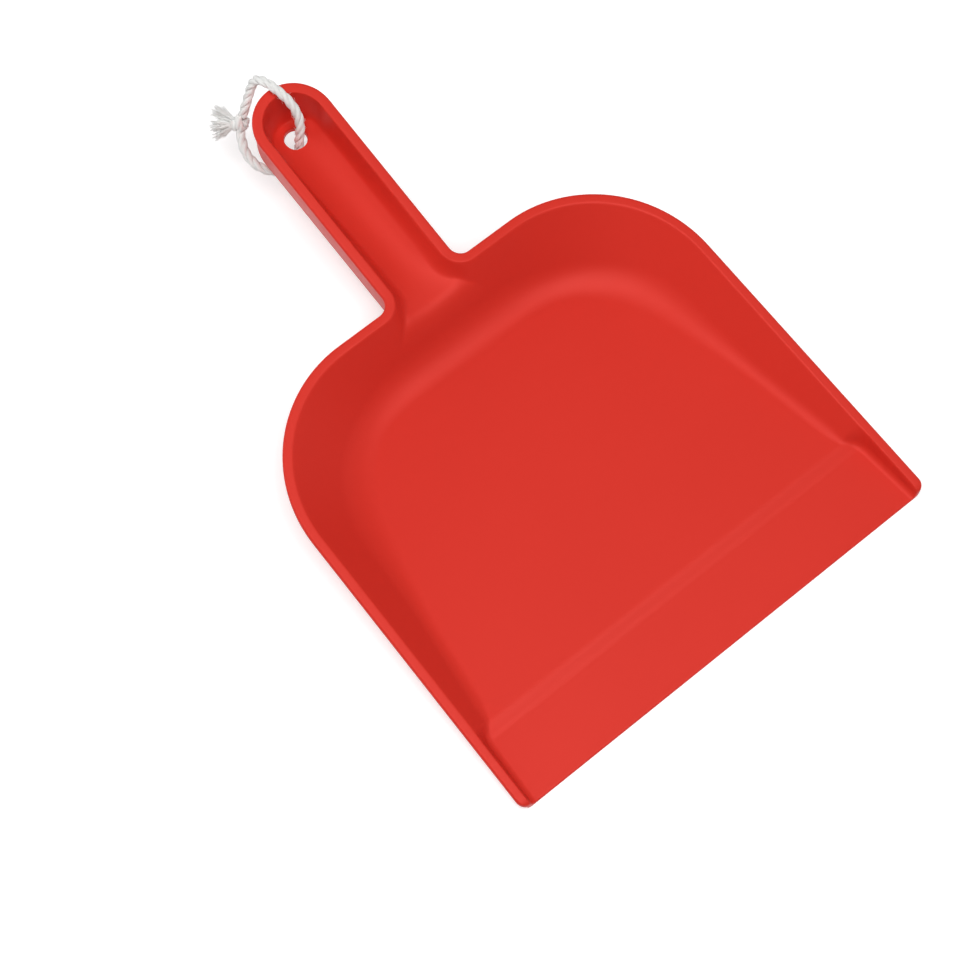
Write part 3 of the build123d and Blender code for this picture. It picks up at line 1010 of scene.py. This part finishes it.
class DUSTPAN_OT_stage(bpy.types.Operator):
    """Set the pale floor, the soft lamps and the camera"""

    bl_idname = "dustpan.stage"
    bl_label = "Stage"

    def execute(self, context):
        settings = context.scene.dustpan_stage
        self.floor()
        self.world(settings)
        size = settings.softbox_size
        self.softbox("key_softbox", 14, 250, settings.key_power, size)
        self.softbox("back_softbox", 55, 130, settings.back_power, size)
        self.softbox("side_softbox", 58, 330, settings.side_power, size)
        self.camera(context)
        context.scene.view_settings.view_transform = "Standard"
        return {"FINISHED"}

    def floor(self):
        """A pale floor that is seen as white and keeps the part's shadow."""
        half = FLOOR_HALF
        corners = [(-half, -half, 0), (half, -half, 0), (half, half, 0), (-half, half, 0)]
        floor = mesh_object("stage_floor", corners, [(0, 1, 2, 3)], smooth=False)
        material, nodes, links, output = new_material("pale_floor")
        diffuse = nodes.new("ShaderNodeBsdfDiffuse")
        diffuse.inputs["Color"].default_value = (0.8, 0.8, 0.8, 1.0)
        glow = nodes.new("ShaderNodeEmission")
        rays = nodes.new("ShaderNodeLightPath")
        seen = nodes.new("ShaderNodeMath")
        seen.operation = "MAXIMUM"
        links.new(rays.outputs["Is Camera Ray"], seen.inputs[0])
        links.new(rays.outputs["Is Glossy Ray"], seen.inputs[1])
        lift = nodes.new("ShaderNodeMath")
        lift.operation = "MULTIPLY"
        lift.inputs[1].default_value = FLOOR_LIFT
        links.new(seen.outputs["Value"], lift.inputs[0])
        links.new(lift.outputs["Value"], glow.inputs["Strength"])
        both = nodes.new("ShaderNodeAddShader")
        links.new(diffuse.outputs["BSDF"], both.inputs[0])
        links.new(glow.outputs["Emission"], both.inputs[1])
        links.new(both.outputs["Shader"], output.inputs["Surface"])
        floor.data.materials.append(material)

    def world(self, settings):
        """A pale room, white where the camera sees it."""
        world = bpy.data.worlds.new("pale_room")
        world.use_nodes = True
        nodes, links = world.node_tree.nodes, world.node_tree.links
        nodes.clear()
        output = nodes.new("ShaderNodeOutputWorld")
        room = nodes.new("ShaderNodeBackground")
        room.inputs["Color"].default_value = (1.0, 1.0, 1.0, 1.0)
        room.inputs["Strength"].default_value = settings.ambient
        seen = nodes.new("ShaderNodeBackground")
        seen.inputs["Strength"].default_value = 1.0
        rays = nodes.new("ShaderNodeLightPath")
        choose = nodes.new("ShaderNodeMixShader")
        links.new(rays.outputs["Is Camera Ray"], choose.inputs["Fac"])
        links.new(room.outputs["Background"], choose.inputs[1])
        links.new(seen.outputs["Background"], choose.inputs[2])
        links.new(choose.outputs["Shader"], output.inputs["Surface"])
        bpy.context.scene.world = world

    def softbox(self, name, tilt, azimuth, power, size):
        """A large lamp that faces the part from a tilt off the upright, in degrees."""
        lamp = bpy.data.lights.new(name, "AREA")
        lamp.shape = "SQUARE"
        lamp.size = size
        lamp.energy = power
        holder = bpy.data.objects.new(name, lamp)
        tilt, azimuth = radians(tilt), radians(azimuth)
        towards = Vector((sin(tilt) * cos(azimuth), sin(tilt) * sin(azimuth), cos(tilt)))
        holder.location = towards * SOFTBOX_DISTANCE
        holder.rotation_euler = towards.to_track_quat("Z", "Y").to_euler()
        bpy.context.scene.collection.objects.link(holder)

    def camera(self, context):
        """The photograph's camera."""
        ahead = Vector(
            (
                sin(CAMERA_AZIMUTH) * cos(CAMERA_ELEVATION),
                cos(CAMERA_AZIMUTH) * cos(CAMERA_ELEVATION),
                -sin(CAMERA_ELEVATION),
            )
        )
        right = Vector((cos(CAMERA_AZIMUTH), -sin(CAMERA_AZIMUTH), 0.0))
        up = right.cross(ahead)
        rolled_right = cos(CAMERA_ROLL) * right + sin(CAMERA_ROLL) * up
        rolled_up = cos(CAMERA_ROLL) * up - sin(CAMERA_ROLL) * right
        camera = bpy.data.cameras.new("camera")
        camera.sensor_fit = "HORIZONTAL"
        camera.sensor_width = SENSOR_WIDTH
        camera.lens = FOCAL_PIXELS / PHOTO_WIDTH * SENSOR_WIDTH
        camera.clip_start = 0.05
        camera.clip_end = 20.0
        holder = bpy.data.objects.new("camera", camera)
        turn = Matrix((rolled_right, rolled_up, -ahead)).transposed()
        holder.matrix_world = Matrix.Translation(CAMERA_PLACE) @ turn.to_4x4()
        context.scene.collection.objects.link(holder)
        context.scene.camera = holder


# --------------------------------------------------------------------------------------- panel
class DUSTPAN_PT_panel(bpy.types.Panel):
    """The dustpan's pieces and settings"""

    bl_idname = "DUSTPAN_PT_panel"
    bl_label = "Dustpan"
    bl_space_type = "VIEW_3D"
    bl_region_type = "UI"
    bl_category = "Dustpan"

    def draw(self, context):
        layout = self.layout
        for group in (
            context.scene.dustpan_plastic,
            context.scene.dustpan_twine,
            context.scene.dustpan_stage,
        ):
            box = layout.box()
            for name in group.__annotations__:
                box.prop(group, name)
        for step in STEPS:
            layout.operator(step.bl_idname)


STEPS = (
    DUSTPAN_OT_materials,
    DUSTPAN_OT_moulding,
    DUSTPAN_OT_twine_knot,
    DUSTPAN_OT_twine_tails,
    DUSTPAN_OT_twine_loop,
    DUSTPAN_OT_stage,
)
CLASSES = (PlasticSettings, TwineSettings, StageSettings, *STEPS, DUSTPAN_PT_panel)


def register():
    for item in CLASSES:
        bpy.utils.register_class(item)
    bpy.types.Scene.dustpan_plastic = PointerProperty(type=PlasticSettings)
    bpy.types.Scene.dustpan_twine = PointerProperty(type=TwineSettings)
    bpy.types.Scene.dustpan_stage = PointerProperty(type=StageSettings)


def unregister():
    del bpy.types.Scene.dustpan_plastic
    del bpy.types.Scene.dustpan_twine
    del bpy.types.Scene.dustpan_stage
    for item in reversed(CLASSES):
        bpy.utils.unregister_class(item)


def main():
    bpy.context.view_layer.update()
    register()
    bpy.ops.dustpan.materials()
    bpy.ops.dustpan.moulding()
    bpy.ops.dustpan.twine_knot()
    bpy.ops.dustpan.twine_tails()
    bpy.ops.dustpan.twine_loop()
    bpy.ops.dustpan.stage()


if __name__ == "__main__":
    main()
